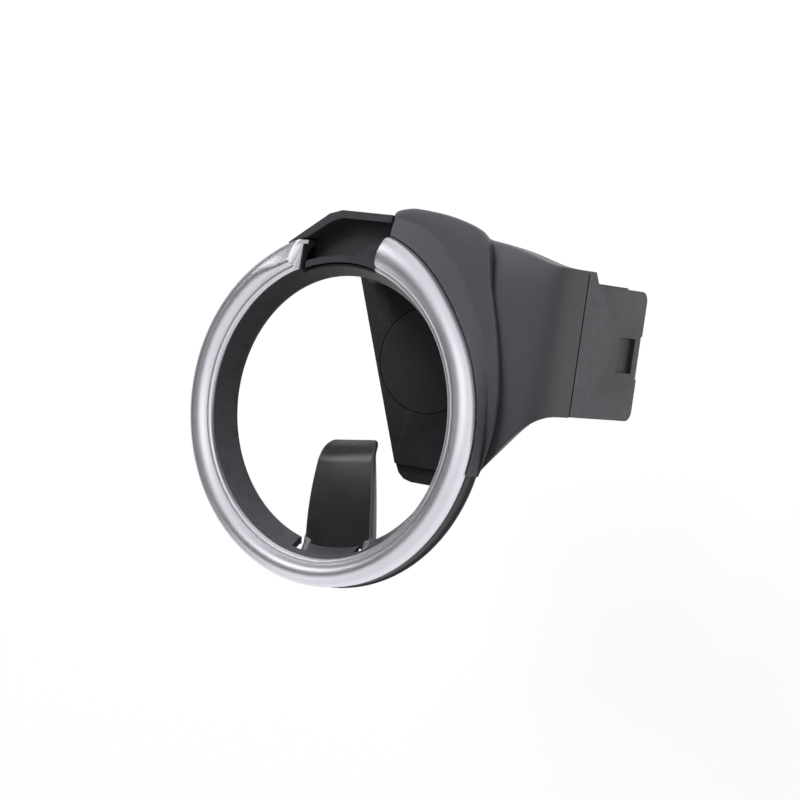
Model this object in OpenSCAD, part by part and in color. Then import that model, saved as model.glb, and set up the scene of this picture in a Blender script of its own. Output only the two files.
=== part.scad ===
// Plug-in car cup holder: an open ring with a bright trim, a cheek and an angular
// finger pocket at its rear, a sprung finger, a neck with a flat plug-in tongue, and
// a low support shelf. The origin is the centre of the tongue's outer face, +Z is up.

/* [Cup ring] */
// Clear diameter at the lip of the ring
cup_d = 78; // [74:0.5:84]
// Clear diameter at the throat, below the tapered wall
throat_d = 71.4; // [66:0.2:73]
// Height of the ring body under its lip plane
ring_h = 7.6; // [7:0.1:9]
// Depth of the outer skirt under the lip plane
skirt_h = 7.4; // [6.6:0.1:7.4]
// Radial reach of the ring body outside the lip
ring_w = 7.3; // [7:0.1:8.6]
// Wall of the moulded ring
ring_t = 1.8; // [1.4:0.1:2.2]
// Spacing angle of the stiffening ribs under the ring
rib_step = 20; // [15:5:30]

/* [Trim] */
// Depth of the trim's seat below the lip plane
seat_d = 1.6; // [1.2:0.1:2.2]
// Radius of the trim's rounded crown
crown_r = 3.3; // [3:0.05:3.6]
// Angle at which the trim ends beside the cheek
trim_a0 = 75.5; // [70:0.5:80]
// Distance from the cup's centre plane to the trim's end beside the pocket
trim_x1 = 15.2; // [13:0.1:16.5]
// Depth of the trim's outer lip below its seat
trim_drop = 1.4; // [1:0.1:1.6]
// Number of snap legs under the trim
leg_n = 6; // [4:1:8]

/* [Cheek and pocket] */
// Wall of the cheek shell
cheek_t = 2; // [1.6:0.1:2.6]
// Depth of the cheek's crease below the trim seat, at the corner
crease_d = 1.6; // [1.2:0.05:1.7]
// Outward shift of the cheek's outer edge
cheek_grow = 0; // [-1:0.1:2]
// Distance from the cup axis to the pocket's rear wall
pocket_y = 52.4; // [50:0.2:56]
// Wall of the pocket
pocket_t = 2; // [1.6:0.1:2.6]

/* [Neck and tongue] */
// Distance from the cup axis to the tongue's outer face
tongue_x = 60; // [58:0.5:66]
// Sideways offset of the tongue's centre from the cup axis
tongue_y = 25; // [23:0.5:27]
// Depth of the tongue's centre below the lip plane
tongue_z = 39; // [38:0.5:44]
// Width of the tongue
tongue_w = 34.4; // [30:0.2:35]
// Length of the tongue below the neck
tongue_h = 30; // [26:0.5:34]
// Thickness of the tongue
tongue_t = 3.4; // [3:0.1:4.2]
// Width of the latch recess
latch_w = 9.2; // [7:0.2:12]
// Height of the latch recess
latch_h = 7.8; // [6:0.2:10]
// Wall of the neck shell
neck_t = 2.4; // [2:0.1:2.8]

/* [Shelf] */
// Depth of the shelf's top under the lip plane, at the cup axis
shelf_z = 45; // [42:0.5:52]
// Slope of the shelf, in degrees
shelf_tilt = 10; // [6:0.5:12]
// Thickness of the shelf
shelf_t = 2.6; // [2.2:0.1:3.4]
// Diameter of the round pad in the shelf
pad_d = 29.4; // [24:0.2:30]

/* [Finger] */
// Angle of the finger around the cup axis
finger_a = 278; // [276:0.5:282]
// Width of the finger at its root
finger_w = 22; // [20:0.2:23]
// Width of the finger at its tip
tip_w = 15; // [12:0.2:18]
// Reach of the finger from its hinge
finger_len = 34.6; // [30:0.2:35]
// Diameter of the hinge pin
pin_d = 2; // [1.8:0.1:2.2]
// Radial play of the finger on its pin
pin_play = 0.08; // [0.05:0.01:0.1]

/* [Hidden] */
$fn = 96;
eps = 0.05;
fit = 0.15;                          // seam between seated mouldings

black = "#232326";
satin = "#c9ccd2";
steel = "#9a9ea4";

lip_r = cup_d / 2;
throat_r = throat_d / 2;
skirt_r = lip_r + ring_w;            // outer wall of the ring body
trim_r = skirt_r;                    // outer edge of the trim
trim_lip = 1.1;                      // wall of the trim's outer lip
trim_a1 = acos(-trim_x1 / lip_r);    // angle of the trim's end at the lip
ledge_z = -seat_d - trim_drop - 0.2; // top of the skirt under the trim's lip
step_r = trim_r - trim_lip - 0.1;    // step inside the trim's lip
rim_r = skirt_r + 0.3;               // narrow rim at the foot of the skirt
rim_h = 0.5;
web_z = -seat_d - ring_t;            // underside of the ring's top web
throat_z = -ring_h + 0.7;            // lower end of the tapered wall
crown_c = trim_r - crown_r;          // radius of the crown's centre line
crown_z = 1.8 - crown_r;             // height of the crown's centre
flange_t = 2.2;                      // carrier flange under the ring
flange_z = -ring_h - flange_t;

// places the cup axis and lip plane in the frame of the tongue's face
module at_cup() translate([-tongue_x, -tongue_y, tongue_z]) children();

// radius of the tapered wall at height z
function cone_r(z) = lip_r + (throat_r - lip_r) * (z + seat_d) / (throat_z + seat_d);

// pie-shaped region between two angles, for cutting rings
module sector(a0, a1, r) {
    n = ceil((a1 - a0) / 30);
    polygon(concat([[0, 0]], [for (i = [0:n]) let (a = a0 + (a1 - a0) * i / n)
        r * [cos(a), sin(a)]]));
}

// cheek plan: radius of its outer edge and of its crease against the angle
cheek_out = [[-12.5, 47.2], [-10.9, 47.5], [-3.4, 48.6], [2.8, 49.7], [8.6, 50.5], [14.1, 51.4],
             [19.6, 52.3], [24.9, 53.3], [30.1, 54.7], [35.1, 56.2], [39.8, 58.1], [43.1, 60.4], [46, 62.8],
             [48.4, 64.2], [51, 64.5], [54.3, 63.5], [60.1, 61.4], [65.6, 59.4], [71, 57.7], [75, 55.8],
             [77.1, 54.2], [84, 52.6]];
cheek_fold = [[-12.5, 47.1], [-3.6, 47.6], [2.5, 48], [11.5, 48.7], [17.4, 49.2], [26.1, 50.1], [31.8, 51],
              [37.8, 51.6], [44.1, 52.3], [50.3, 53.3], [57.1, 54.4], [64.9, 55.3], [77, 53.4], [84, 51.8]];
cheek_a0 = -9.25;
cheek_a1 = 84;
cheek_step = 3.25;
cheek_dx = 11.8;                     // plane of the cheek's end beside the pocket
cheek_shift = skirt_r - 46.3;        // the cheek follows the ring's outer wall
function out_r(a) = lookup(a, cheek_out) + cheek_grow + cheek_shift;
function fold_r(a) = min(lookup(a, cheek_fold), lookup(a, cheek_out) - 0.1) + cheek_shift;
function fold_z(a) = -seat_d - crease_d * lookup(a, [[-12.5, 3.4], [-4, 2.5], [3, 2.06], [10, 1.75],
    [17, 1.56], [30, 1.31], [40, 1.12], [50, 1], [60, 0.88], [70, 0.75], [84, 0.62]]);
rim_top = -skirt_h + rim_h + 0.1;
function brow_z(a) = -seat_d - lookup(a, [[-12.5, 0.8], [20, 0.5], [60, 0.3]]);

// closed cheek solid swept around the ring, clear of the skirt and its rim; t sets it in
// from its outer skin
module cheek_body(t, drop = 0, a0 = cheek_a0, a1 = cheek_a1, r0 = skirt_r + fit + 0.02) {
    n = round((a1 - a0) / cheek_step);
    pts = [for (i = [0:n]) let (a = a0 + (a1 - a0) * i / n,
                                ro = out_r(a) - t, rf = min(fold_r(a), ro - 0.05),
                                zb = brow_z(a) - t, zf = fold_z(a) - t, bot = -ring_h - drop)
        for (q = [[r0 + rim_r - skirt_r, bot], [r0 + rim_r - skirt_r, rim_top], [r0, rim_top + 0.5], [r0, zb], [rf, zf], [rf + (ro - rf) * 0.7, zf - 0.08],
                  [ro, zf - 0.45], [ro - 0.9, bot]])
            [q[0] * cos(a), q[0] * sin(a), q[1]]];
    m = 8;
    faces = concat([[for (k = [0:m - 1]) k]],
        [for (i = [0:n - 1], k = [0:m - 1]) let (k2 = (k + 1) % m)
            [i * m + k, (i + 1) * m + k, (i + 1) * m + k2, i * m + k2]],
        [[for (k = [m - 1:-1:0]) n * m + k]]);
    polyhedron(points = pts, faces = faces, convexity = 4);
}

// FINGER FRAME: along x the hinge line, along y inward to the cup axis, z up,
// with the hinge axis at the origin
hinge_r = lip_r + 3;                 // distance of the hinge axis from the cup axis
hinge_z = -5.5;
knuckle_r = 1.8;
leg_w = 2.4;                         // width of each finger leg
leg_x = finger_w / 2 - leg_w;        // inner face of each leg
window_w = finger_w + 2.4;           // window in the tapered wall
boss_w = 2;                          // bosses that carry the pin
boss_x = window_w / 2 + 0.2;
pin_len = 2 * (boss_x + boss_w);
tab_w = 2 * leg_x - 1.4;             // fixed tab between the legs
module at_hinge() rotate(finger_a - 270) translate([0, -hinge_r, hinge_z]) children();

// RING BODY: an inverted channel with a tapered inner wall, open below
module hoop_solid() rotate_extrude() polygon([
    [lip_r, -seat_d], [throat_r, throat_z], [throat_r, -ring_h], [throat_r + ring_t, -ring_h],
    [rim_r, -skirt_h], [rim_r, -skirt_h + rim_h], [skirt_r - 0.2, -skirt_h + rim_h + 0.4], [skirt_r, ledge_z],
    [step_r, ledge_z], [step_r, -seat_d]]);
cav_in = cone_r(web_z) + ring_t;     // channel's inner radius under the web
cav_out = skirt_r - 1.6;
module hoop_cavity() rotate_extrude() polygon([
    [cav_in, web_z], [throat_r + ring_t, throat_z], [throat_r + ring_t, -ring_h - 1],
    [cav_out, -ring_h - 1], [cav_out, ledge_z - ring_t], [step_r - ring_t, ledge_z - ring_t + 0.5],
    [step_r - ring_t, web_z]]);
module hoop_ribs() for (a = [0:rib_step:359]) let (d = abs(((a - finger_a + 540) % 360) - 180))
    if (d > 22 && (a > trim_a1 + 6 || a < trim_a0 - 6))
        rotate(a) translate([throat_r + 1, -0.6, -skirt_h + 0.4])
            cube([skirt_r - throat_r - 1.8, 1.2, skirt_h - seat_d - 1]);
notch_r = lip_r - 0.4;               // outer face of the wall that crosses the notch
notch_z = -3.3;                      // its top
leg_t = 1.3;                         // trim snap legs
leg_span = 5;
leg_r = cav_in + 1.4;
function leg_a(i) = trim_a1 + 14 + i * (360 - (trim_a1 - trim_a0) - 28) / (leg_n - 1);
module trim_legs(g) for (i = [0:leg_n - 1]) rotate(leg_a(i))
    translate([leg_r - g, -leg_span / 2 - g, web_z - 1.6]) cube([leg_t + 2 * g, leg_span + 2 * g, 1.3 - web_z + g]);
module hoop() color(black) at_cup() difference() {
    union() {
        difference() {
            hoop_solid();
            hoop_cavity();
        }
        intersection() {
            hoop_ribs();
            hoop_solid();
        }
        intersection() {
            at_hinge() for (s = [-1, 1]) translate([s * (boss_x + boss_w / 2), 0.6, 0.15])
                cube([boss_w, 4.4, 2 * (ring_h + hinge_z) + 0.2], center = true);
            rotate_extrude() translate([throat_r, -ring_h]) square([ring_w + 3, ring_h - seat_d]);
        }
    }
    trim_legs(fit);
    notch_cut();
    at_hinge() {
        translate([-window_w / 2, 1.2, -4]) cube([window_w, 9, 4 - seat_d - hinge_z - ring_t]);
        rotate([0, 90, 0]) cylinder(d = pin_d, h = pin_len, center = true);
        rotate([0, 90, 0]) cylinder(r = knuckle_r + 0.25, h = window_w, center = true);
    }
}
// removes the web and skirt across the notch and trims the crossing wall
module notch_plan() intersection() {
    sector(trim_a0 + 2, 130, 70);
    translate([-trim_x1 - 0.3, 0]) square([60, 80]);
}
module notch_cut() difference() {
    translate([0, 0, -ring_h - 1]) linear_extrude(ring_h + 2) notch_plan();
    translate([0, 0, -ring_h - 2]) cylinder(r = notch_r, h = ring_h + 2 + notch_z);
}

// TRIM: rounded crown, hollow fillet and a bevelled inner lip, over a flat seat
module trim_half() {
    $fn = 56;
    difference() {
        union() {
            polygon([[lip_r, -seat_d], [lip_r - 0.1, -0.9], [lip_r + 0.5, 0], [crown_c, 0.1],
                     [crown_c, -seat_d]]);
            intersection() {
                translate([crown_c, crown_z]) circle(r = crown_r);
                translate([lip_r + 0.6, -seat_d]) square([ring_w, 5]);
            }
            translate([trim_r - trim_lip, -seat_d - trim_drop]) square([trim_lip, trim_drop + seat_d + crown_z]);
        }
        translate([crown_c - crown_r * 0.98, 1.15]) circle(r = 1.15);
        translate([lip_r + 3.1, -seat_d - eps]) square([trim_r - lip_r - 4.5, 1.1]);
    }
}
end_lean = 15;                       // slope of the trim's end face beside the pocket
module trim_ring() color(satin) at_cup() {
    difference() {
        rotate(trim_a1 - 12) rotate_extrude(angle = 372 - (trim_a1 - trim_a0)) trim_half();
        translate([-trim_x1, 0, -seat_d - trim_drop]) rotate([0, -end_lean, 0]) translate([0, 0, -5])
            cube([trim_x1 - 1, lip_r + 20, 20]);
    }
    intersection() {
        trim_legs(0);
        translate([0, 0, web_z - 1.6]) cylinder(r = trim_r, h = 1.6 - web_z - seat_d + 1.4);
    }
}

// CHEEK: hollow cap beside the notch, cut to sit over the ring's skirt and the trim
boss_list = [[66, 52.4], [41.4, 55.3], [31.2, 50.9]];
boss_bore = 2.8;                     // depth of the bosses' bores in the cheek
hollow_a0 = 14;                      // the cheek's tail is solid below this angle
module cheek() color(black) at_cup() difference() {
    cheek_body(0);
    difference() {
        intersection() {
            cheek_body(cheek_t, 1, hollow_a0, cheek_a1 + 3, trim_r - 4);
            translate([cheek_dx + cheek_t, -80, -ring_h - 3]) cube([80, 160, 20]);
        }
        for (b = boss_list) rotate(b[0]) translate([b[1], 0, -ring_h - 4]) cylinder(d = 5, h = 14);
    }
    translate([cheek_dx - 60, 0, -20]) cube([60, 90, 40]);
    for (b = boss_list) rotate(b[0]) translate([b[1], 0, -ring_h - 1]) cylinder(d = 2, h = boss_bore + 1);
}

// POCKET: angular rear wall, a floor on the carrier and a curved sill beside the ring
pocket_x0 = -21.2;
pocket_top = -1.9;
sill_z = -2.5;
module pocket_plan(t) polygon([
    [pocket_x0 + t, pocket_y - 10.2 - t * 0.4], [-8.7 + t * 0.5, pocket_y - 1.3 - t], [-4.6 + t * 0.2, pocket_y - t],
    [cheek_dx - fit, pocket_y + 0.3 - t], [cheek_dx - fit, 30], [-12, 30]]);
module pocket() color(black) at_cup() difference() {
    translate([0, 0, -ring_h]) linear_extrude(ring_h + pocket_top) pocket_plan(0);
    difference() {
        translate([0, 0, -ring_h + 1.6]) linear_extrude(ring_h) pocket_plan(pocket_t);
        translate([0, 0, -ring_h]) cylinder(r = lip_r + 1.7, h = ring_h + sill_z);
    }
    translate([0, 0, -ring_h - 1]) cylinder(r = lip_r - 0.05, h = ring_h + 3);
    translate([0, 0, -ring_h - 1]) linear_extrude(ring_h + 3) intersection() {
        circle(r = rim_r + fit);
        union() {
            translate([-60 - trim_x1 + fit, 0]) square([60, 80]);
            sector(trim_a0 - 40, trim_a0 + 2.4, 90);
        }
    }
    translate([0, 0, sill_z]) cylinder(r = lip_r + 1.7, h = 4);
}

// NECK: sloped shell from under the cheek to the flat above the tongue
bend_z = -10.4;                      // edge between the slope and the flat
neck_z0 = -4.6;                      // top of the slope at the cheek
neck_x0 = 40;
slope_x = 49;                        // start of the slope
groove = 0.6;                        // dark seam between the neck and the tongue
tongue_top = -tongue_z + tongue_h / 2;
neck_end = tongue_top + groove;
neck_y0 = tongue_y - tongue_w / 2 - 0.2;
neck_y1 = tongue_y + tongue_w / 2 + 3.2;
scoop_r = 14.6;                      // concave side of the neck
scoop_x = tongue_x - 2.2;
bevel_a = 36;                        // bevel along the neck's rear edge
module neck_side(t) polygon([
    [neck_x0 - 1, neck_z0 - t], [slope_x, neck_z0 - t],
    [tongue_x - t - 1.5, bend_z + 0.5 - t * 0.8], [tongue_x - t, bend_z - 1.3 - t * 0.4],
    [tongue_x - t, neck_end - t], [tongue_x - 9, neck_end - t], [neck_x0 - 1, flange_z - t]]);
module neck_plan(t) difference() {
    polygon([[neck_x0, neck_y0 - scoop_r + t], [neck_x0, pocket_y - 1.1 - t],
             [46, pocket_y - 3.4 - t], [tongue_x - 2, neck_y1 - t], [tongue_x + 1, neck_y1 - t],
             [tongue_x + 1, neck_y0 - scoop_r + t]]);
    translate([scoop_x, neck_y0 - scoop_r]) circle(r = scoop_r + t);
    translate([scoop_x, neck_y0 - 2 * scoop_r + t]) square([20, 2 * scoop_r]);
}
module neck_solid(t) difference() {
    intersection() {
        translate([0, 80, 0]) rotate([90, 0, 0]) linear_extrude(110) neck_side(t);
        translate([0, 0, -40]) linear_extrude(60) neck_plan(t);
    }
    translate([slope_x, neck_y1 - 0.6 - t * 0.6, neck_z0 - t]) rotate([0, 29, 0])
        rotate([-bevel_a, 0, 0]) translate([-14, 0, 0]) cube([40, 16, 9]);
}
// gusset: a thin panel from the cheek's tail to the neck's lower edge; each station has the
// cheek's angle, then the outer edge's x, y and z
gusset_t = 1.6;
gusset = [[14, 58, 7.6, -9.7], [8, 55.8, 4.9, -8.5], [3, 52.4, -0.4, -7.9], [-4, 48.7, -4.6, -7.6],
          [-8, 47.6, -6.6, -7.5]];
module neck_gusset() {
    n = len(gusset) - 1;
    pts = [for (g = gusset) let (r = out_r(g[0]) - 0.6, top = [r * cos(g[0]), r * sin(g[0]), fold_z(g[0]) - 0.6],
                                 edge = [g[1], g[2], g[3]] + cheek_shift * [1, 0, 0])
        for (q = [top, edge, edge - gusset_t * [0.3, -0.1, 1], top - [0, 0, gusset_t]]) q];
    polyhedron(points = pts, faces = concat([[3, 2, 1, 0]],
        [for (i = [0:n - 1], k = [0:3]) let (k2 = (k + 1) % 4) [i * 4 + k, i * 4 + k2, i * 4 + 4 + k2, i * 4 + 4 + k]],
        [[for (k = [0:3]) n * 4 + k]]), convexity = 3);
}
module neck() color(black) at_cup() difference() {
    union() {
        difference() {
            neck_solid(0);
            neck_solid(neck_t);
        }
        neck_gusset();
    }
    translate([0, 0, flange_z - fit]) linear_extrude(30) cheek_plan(-fit);
    translate([0, 0, flange_z - fit]) cylinder(r = rim_r + fit, h = 20);
    translate([0, 0, flange_z - fit]) linear_extrude(flange_t + 2 * fit) flange_plan(-fit);
}

// CARRIER: flange under the cheek and pocket, an L-shaped wall that holds the shelf,
// and ribbed webs that carry the tongue
flange_a0 = 0;
flange_a1 = 126;
wall_t = 2.4;
back_y = 39;                         // inner face of the rear wall
side_x = 36.6;                       // inner face of the side wall
side_y0 = 9.5;
corner_r = 9;
plate_x = tongue_x - 5.95;           // face that the tongue's root bolts to
web_n = 4;
root_y0 = neck_y0 + neck_t + 0.4;
root_y1 = neck_y1 - neck_t - 0.4;
module cheek_plan(t) polygon(concat([[0, 0]], [for (a = [cheek_a0:cheek_step:cheek_a1])
    (out_r(a) - t) * [cos(a), sin(a)]]));
module flange_plan(t) difference() {
    intersection() {
        union() {
            circle(r = skirt_r - 0.6 - t);
            cheek_plan(1.2 + t);
            pocket_plan(0.5 + t);
        }
        sector(flange_a0, flange_a1, 90);
    }
    circle(r = throat_r + 1.2);
}
module wall_plan() difference() {
    union() {
        translate([-40, -20]) square([40 + side_x + wall_t, 20 + back_y + wall_t - corner_r]);
        translate([-40, -20]) square([40 + side_x + wall_t - corner_r, 20 + back_y + wall_t]);
        translate([side_x + wall_t - corner_r, back_y + wall_t - corner_r]) circle(r = corner_r);
    }
    translate([-50, -30]) square([50 + side_x, 30 + back_y - corner_r + wall_t]);
    translate([-50, -30]) square([50 + side_x - corner_r + wall_t, 30 + back_y]);
    translate([side_x + wall_t - corner_r, back_y + wall_t - corner_r]) circle(r = corner_r - wall_t);
}
module at_shelf() translate([0, 0, -shelf_z]) rotate([0, shelf_tilt, 0]) children();
shelf_bosses = [[-17.5, back_y - 2.2], [side_x - 3.2, back_y - 3.2], [side_x - 2.2, side_y0 + 5]];
root_screws = [[tongue_y - 9, -19], [tongue_y + 9, -19]];
module carrier() color(black) at_cup() difference() {
    union() {
        translate([0, 0, flange_z]) linear_extrude(flange_t) flange_plan(0);
        intersection() {
            translate([0, 0, -shelf_z - 12]) linear_extrude(shelf_z + 12 + flange_z + 1) wall_plan();
            translate([0, 60, 0]) rotate([90, 0, 0]) linear_extrude(90)
                polygon([[2, flange_z + 1], [-25.6, -shelf_z + 5], [-26.2, -shelf_z - 14],
                         [60, -shelf_z - 14], [60, flange_z + 1]]);
            rotate([90, 0, 90]) translate([0, 0, -60]) linear_extrude(120)
                polygon([[2, flange_z + 1], [side_y0, -shelf_z + 8], [side_y0, -shelf_z - 14],
                         [60, -shelf_z - 14], [60, flange_z + 1]]);
        }
        translate([plate_x - 2.6, root_y0, -25]) cube([2.6, root_y1 - root_y0, 12]);
        for (i = [0:web_n - 1]) translate([0, root_y0 + i * (root_y1 - root_y0 - 2) / (web_n - 1) + 2, 0])
            rotate([90, 0, 0]) linear_extrude(2) polygon([
                [side_x + 1, flange_z + 1], [slope_x - 2, flange_z + 1], [plate_x - 1, -13],
                [plate_x - 1, -25], [side_x + 1, -32]]);
        for (b = root_screws) translate([plate_x - 6.6, b[0], b[1]]) rotate([0, 90, 0])
            cylinder(d = 5, h = 5);
        intersection() {
            at_shelf() for (b = shelf_bosses) translate([b[0], b[1], 0]) cylinder(d = 5, h = 7);
            translate([-60, -60, -90]) cube([60 + side_x + 1, 60 + back_y + 1, 90]);
        }
    }
    at_shelf() {
        translate([-60, -60, -30]) cube([140, 140, 30 - shelf_t]);
        for (b = shelf_bosses) translate([b[0], b[1], -1]) cylinder(d = 2, h = 7);
    }
    for (b = boss_list) rotate(b[0]) translate([b[1], 0, flange_z - 1]) cylinder(d = 2.4, h = 5);
    for (b = root_screws) translate([plate_x - 7, b[0], b[1]]) rotate([0, 90, 0]) cylinder(d = 2, h = 8);
}

// SHELF: sloped plate inside the carrier's walls, with a lowered lip and a pad recess
pad_c = [-1.2, 15.4];
pad_t = 1.3;
lip_y = -14.2;                       // step near the free edge
shelf_y0 = -18.7;
module shelf_plan() polygon([
    [-26, back_y - fit], [-26, back_y - 2], [-6.8, -14.6], [-5.8, -16.6], [-4, -18.1], [-1.6, shelf_y0],
    [8.6, shelf_y0], [10.6, shelf_y0 + 0.9], [35, 12], [side_x - fit, 15],
    [side_x - fit, back_y - corner_r + 2], [side_x - 2.4, back_y - 2.4], [side_x - corner_r + 2, back_y - fit]]);
module shelf() color(black) at_cup() at_shelf() difference() {
    union() {
        translate([0, 0, -shelf_t]) linear_extrude(shelf_t) shelf_plan();
        intersection() {
            for (y = [-10:9:30]) translate([-40, y, -shelf_t - 1.8]) cube([90, 1.4, 2.2]);
            translate([0, 0, -shelf_t - 2]) linear_extrude(4) intersection() {
                shelf_plan();
                translate([2, 2]) shelf_plan();
                translate([-2, -2]) shelf_plan();
            }
        }
    }
    translate([-40, lip_y - 20, -0.9]) cube([90, 20, 5]);
    translate([pad_c[0], pad_c[1], -pad_t]) cylinder(d = pad_d + 2 * fit, h = 5);
    for (b = shelf_bosses) translate([b[0], b[1], -shelf_t - 1]) cylinder(d = 2.4, h = 6);
}
dish = 0.5;                          // depth of the pad's hollow
dish_r = pow(pad_d / 2 - 1, 2) / (2 * dish);
module shelf_pad() color("#1d1d20") at_cup() at_shelf() translate([pad_c[0], pad_c[1], -pad_t])
    rotate_extrude() difference() {
        square([pad_d / 2, pad_t]);
        translate([0, pad_t + dish_r - dish]) circle(r = dish_r, $fn = 360);
    }

// TONGUE: blade with a latch recess, a collar step and a root plate inside the neck
blade_r = 2.8;                       // rounded lower corners
latch_z = -7.8;
module tongue() color(black) difference() {
    union() {
        rotate([90, 0, -90]) linear_extrude(tongue_t) blade_plan();
        translate([-5.8, root_y0 - tongue_y, -9]) cube([3.1, root_y1 - root_y0, tongue_z - 13.2 + 9]);
    }
    translate([-1.4, -latch_w / 2, latch_z - latch_h / 2]) cube([3, latch_w, latch_h]);
    translate([-9, -6, -tongue_h / 2 - 1]) cube([20, 11.4, 1.6]);
    for (b = root_screws) translate([-8, b[0] - tongue_y, b[1] + tongue_z]) rotate([0, 90, 0]) {
        cylinder(d = 2.4, h = 7);
        translate([0, 0, 8 - 2.7 - 1.2]) cylinder(d = 4.4, h = 3);
    }
}
module blade_plan() union() {
    hw = tongue_w / 2;
    hh = tongue_h / 2;
    translate([-hw, -hh + blade_r]) square([tongue_w, tongue_h - blade_r]);
    translate([-hw + blade_r, -hh]) square([tongue_w - 2 * blade_r, tongue_h]);
    for (s = [-1, 1]) translate([s * (hw - blade_r), -hh + blade_r]) circle(r = blade_r);
    polygon([[-hw - 3.2, hh], [-hw - 3.2, hh - 3], [-hw - 0.2, hh - 5], [-hw, hh - 6.6], [-hw + 1, hh - 6.6],
             [-hw + 1, hh]]);
}

// FINGER: curved sheet with side flanges and two legs that run to the hinge
finger_y0 = 6.8;                     // inner edge of the sheet, from the hinge line
sheet_z = -1.3;                      // top of the sheet at its root
sheet_t = 1.8;
flange_d = 0.5;
bow = 0.0055;                        // gentle bow of the sheet, and the hook at its tip
hook_y = 22.5;
hook = 0.025;
function f_top(y) = sheet_z - bow * pow(y - finger_y0, 2) - hook * pow(max(0, y - hook_y), 2);
function f_low(y) = f_top(y) - sheet_t - flange_d * max(0, 1 - pow((y - finger_y0) / 22, 2));
finger_ys = [for (i = [0:24]) finger_y0 + (finger_len - finger_y0) * i / 24];
module finger_band(under) rotate([90, 0, 90]) translate([0, 0, -15]) linear_extrude(30) polygon(concat(
    [for (y = finger_ys) [y, f_top(y) - (under ? sheet_t : 0)]],
    [for (i = [24:-1:0]) let (y = finger_ys[i]) [y, f_low(y) - (under ? 1 : 0)]]));
tip_r = 2.2;                         // rounded corners of the tip
function half_w(y) = finger_w / 2 - (finger_w - tip_w) / 2 * pow((y - finger_y0) / (finger_len - finger_y0), 2);
module finger_plan(t) {
    ys = [for (i = [0:9]) finger_y0 + (finger_len - tip_r - finger_y0) * i / 9];
    hc = half_w(finger_len - tip_r) - tip_r;
    polygon(concat([for (y = ys) [half_w(y) - t, y]],
        [for (a = [15:15:90]) [hc + tip_r * cos(a) - t, finger_len - tip_r + tip_r * sin(a)]],
        [for (a = [90:15:165]) [-hc + tip_r * cos(a) + t, finger_len - tip_r + tip_r * sin(a)]],
        [for (i = [9:-1:0]) [-half_w(ys[i]) + t, ys[i]]]));
}
module finger() color(black) at_cup() at_hinge() difference() {
    union() {
        intersection() {
            finger_band(false);
            translate([0, 0, -30]) linear_extrude(40) finger_plan(0);
        }
        for (s = [-1, 1]) translate([s * (leg_x + leg_w / 2) - leg_w / 2, 0, 0]) rotate([90, 0, 90])
            linear_extrude(leg_w) {
                circle(r = knuckle_r);
                polygon([[0, knuckle_r], [2.6, knuckle_r - 0.3], [finger_y0 + 0.4, f_top(finger_y0 + 0.4)],
                         [finger_y0 + 2, f_top(finger_y0 + 2) - 0.1], [finger_y0 + 2, f_low(finger_y0 + 2) + 0.1],
                         [finger_y0, f_low(finger_y0) + 0.3],
                         [knuckle_r + 1, 0.1 - knuckle_r], [knuckle_r * 0.5, -knuckle_r * 0.86]]);
            }
    }
    intersection() {
        finger_band(true);
        translate([0, 0, -30]) linear_extrude(40) translate([0, -2]) finger_plan(1.6);
    }
    rotate([0, 90, 0]) cylinder(d = pin_d + 2 * pin_play, h = 40, center = true);
}
module finger_pin() color(steel) at_cup() at_hinge() rotate([0, 90, 0])
    cylinder(d = pin_d, h = pin_len, center = true);

// torsion spring around the pin, wound as a helix with two straight tangent ends
coil_r = 1.55;
wire_d = 0.5;
coil_len = 10;
coil_n = 6;
coil_end = 1.8;
spring_foot = 0.7;
module finger_spring() color(steel) at_cup() at_hinge() {
    k = 12;
    m = 6;
    path = concat([[-coil_len / 2, coil_end, coil_r]],
        [for (i = [0:coil_n * k]) let (a = 90 + i * 360 / k)
            [-coil_len / 2 + coil_len * i / (coil_n * k), coil_r * cos(a), coil_r * sin(a)]],
        [[coil_len / 2, -spring_foot, coil_r + 0.2]]);
    n = len(path);
    pts = [for (i = [0:n - 1]) let (
            a = 90 + (min(max(i - 1, 0), n - 3)) * 360 / k,
            rad = [0, cos(a), sin(a)])
        for (j = [0:m - 1]) path[i] + wire_d / 2 * (cos(j * 360 / m) * rad + [sin(j * 360 / m), 0, 0])];
    polyhedron(points = pts, faces = concat([[for (j = [0:m - 1]) j]],
        [for (i = [0:n - 2], j = [0:m - 1]) let (j2 = (j + 1) % m)
            [i * m + j, (i + 1) * m + j, (i + 1) * m + j2, i * m + j2]],
        [[for (j = [m - 1:-1:0]) (n - 1) * m + j]]), convexity = 6);
}

// fixed tab: the piece of tapered wall between the finger's legs, with a foot under the web
tab_z = -6.4;
module hinge_tab() color("#2b2b2e") at_cup() intersection() {
    rotate_extrude() polygon([
        [cone_r(web_z), web_z - 0.02], [cone_r(tab_z), tab_z], [cone_r(tab_z) + 1.4, tab_z],
        [cone_r(web_z) + 1.4, web_z - 1], [lip_r + 0.6, web_z - 1], [lip_r + 0.6, web_z - 0.02]]);
    at_hinge() translate([-tab_w / 2, 0, -8]) cube([tab_w, 12, 14]);
}

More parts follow.
